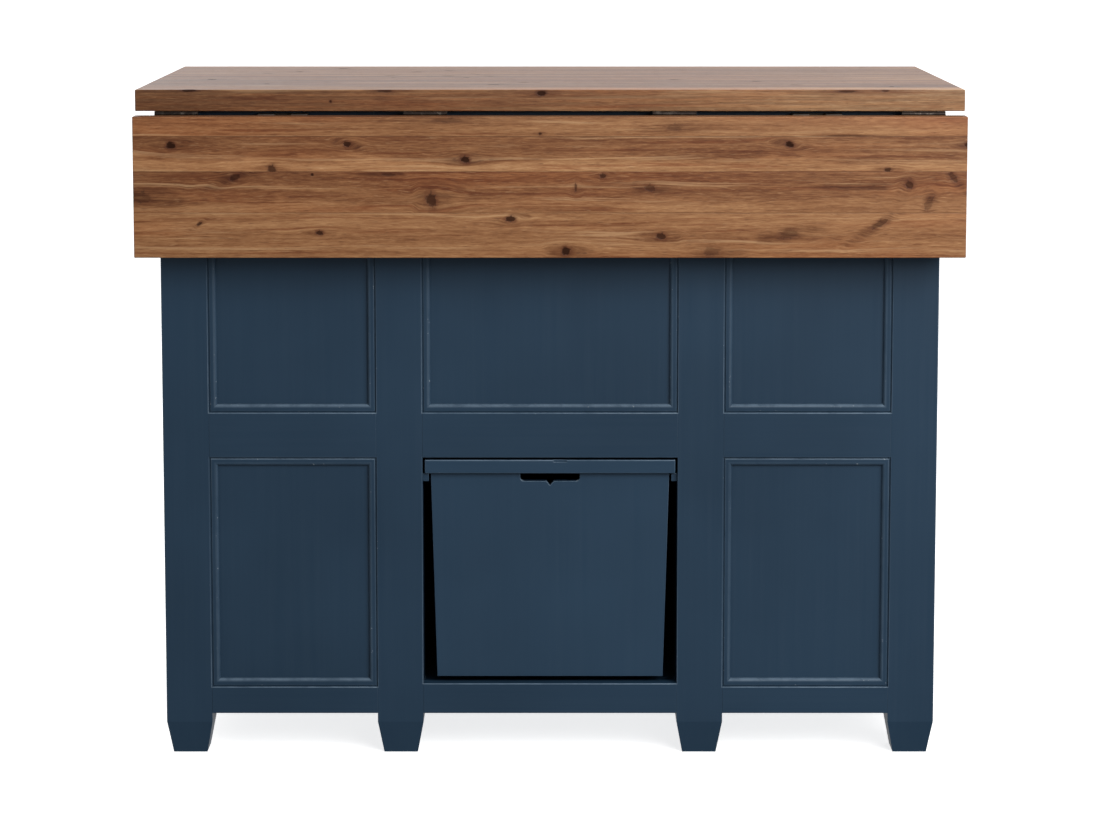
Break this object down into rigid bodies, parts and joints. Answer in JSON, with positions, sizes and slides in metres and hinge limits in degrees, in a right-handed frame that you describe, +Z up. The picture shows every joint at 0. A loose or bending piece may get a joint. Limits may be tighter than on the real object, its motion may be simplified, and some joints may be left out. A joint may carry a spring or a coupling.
{
  "type": "bar counter",
  "caption": "Painted panelled bar counter with a hardwood worktop, a full-width drop leaf on folding arms, a pull-out tub, drawers and cupboards.",
  "frame": {"origin": "on the floor, in the middle of the box round the whole counter with the leaf hanging", "axes": "+X along the counter, to the right as seen from the bar side; -Y faces the bar side with the drop leaf and the tub; +Y faces the kitchen side with drawers and doors; +Z up"},
  "size_m": [1.2, 0.6866, 0.99],
  "materials": {
    "paint": "brushed slate-blue satin paint",
    "worktop_wood": "oiled knotty hardwood staves",
    "plain_wood": "unpainted pale wood",
    "support_wood": "dark greyed wood",
    "dark_metal": "dark antique lacquer",
    "steel": "zinc plated",
    "knob_metal": "dark antique lacquer"
  },
  "bodies": {
    "carcase": {"worktop": "worktop_wood", "worktop_cleats": "plain_wood", "worktop_screws": "steel", "leaf_hinge_plates": "dark_metal", "leaf_hinge_pins": "dark_metal", "post_bar_left_end": "paint", "post_bar_left_inner": "paint", "post_bar_right_inner": "paint", "post_bar_right_end": "paint", "post_kitchen_left_end": "paint", "post_kitchen_left_inner": "paint", "post_kitchen_right_inner": "paint", "post_kitchen_right_end": "paint", "bar_top_rails": "paint", "bar_mid_rails": "paint", "bar_bottom_rails": "paint", "kitchen_rails": "paint", "end_rails": "paint", "bar_panels": "paint", "end_panels": "paint", "kitchen_panel": "paint", "panel_mouldings": "paint", "floor_board": "paint", "partition_left": "paint", "partition_right": "paint", "dust_board": "paint", "shelves": "plain_wood", "shelf_pins": "steel", "tub_runners": "paint", "drawer_bearers": "plain_wood", "support_housing_left": "support_wood", "support_housing_right": "support_wood", "support_arm_pins": "steel", "door_hinges": "dark_metal", "door_catches": "steel"},
    "leaf": {"drop_leaf": "worktop_wood", "leaf_hinge_flaps": "dark_metal", "leaf_hinge_screws": "steel", "support_pads": "steel"},
    "arm_left": {"support_arm_left": "support_wood"},
    "arm_right": {"support_arm_right": "support_wood"},
    "tub": {"tub_front": "paint", "tub_back": "paint", "tub_sides": "paint", "tub_floor": "paint", "tub_rim": "paint"},
    "drawer_lower": {"drawer_lower_front": "paint", "drawer_lower_box": "plain_wood", "drawer_lower_knobs": "knob_metal"},
    "drawer_upper": {"drawer_upper_front": "paint", "drawer_upper_box": "plain_wood", "drawer_upper_knobs": "knob_metal"},
    "door_left": {"door_left_frame": "paint", "door_left_panel": "paint", "door_left_knob": "knob_metal", "door_left_fittings": "dark_metal"},
    "door_right": {"door_right_frame": "paint", "door_right_panel": "paint", "door_right_knob": "knob_metal", "door_right_fittings": "dark_metal"}
  },
  "joints": [
    {"name": "leaf_hinge", "type": "hinge", "parent": "carcase", "child": "leaf", "pos_m": [0, -0.30825, 0.955], "axis": [-1, 0, 0], "range_deg": [0, 90]},
    {"name": "arm_left_pivot", "type": "hinge", "parent": "carcase", "child": "arm_left", "pos_m": [-0.387, -0.29175, 0.905], "axis": [-1, 0, 0], "range_deg": [0, 115]},
    {"name": "arm_right_pivot", "type": "hinge", "parent": "carcase", "child": "arm_right", "pos_m": [0.387, -0.29175, 0.905], "axis": [-1, 0, 0], "range_deg": [0, 115]},
    {"name": "tub_slide", "type": "slide", "parent": "carcase", "child": "tub", "axis": [0, -1, 0], "range_m": [0, 0.45]},
    {"name": "drawer_lower_slide", "type": "slide", "parent": "carcase", "child": "drawer_lower", "axis": [0, 1, 0], "range_m": [0, 0.36]},
    {"name": "drawer_upper_slide", "type": "slide", "parent": "carcase", "child": "drawer_upper", "axis": [0, 1, 0], "range_m": [0, 0.36]},
    {"name": "door_left_hinge", "type": "hinge", "parent": "carcase", "child": "door_left", "pos_m": [-0.501, 0.31665, 0.496], "axis": [0, 0, 1], "range_deg": [0, 110]},
    {"name": "door_right_hinge", "type": "hinge", "parent": "carcase", "child": "door_right", "pos_m": [0.501, 0.31665, 0.496], "axis": [0, 0, -1], "range_deg": [0, 110]}
  ],
  "couplings": [
    {"joint": "arm_left_pivot", "follows": "leaf_hinge", "ratio": 1.2777},
    {"joint": "arm_right_pivot", "follows": "leaf_hinge", "ratio": 1.2777}
  ]
}
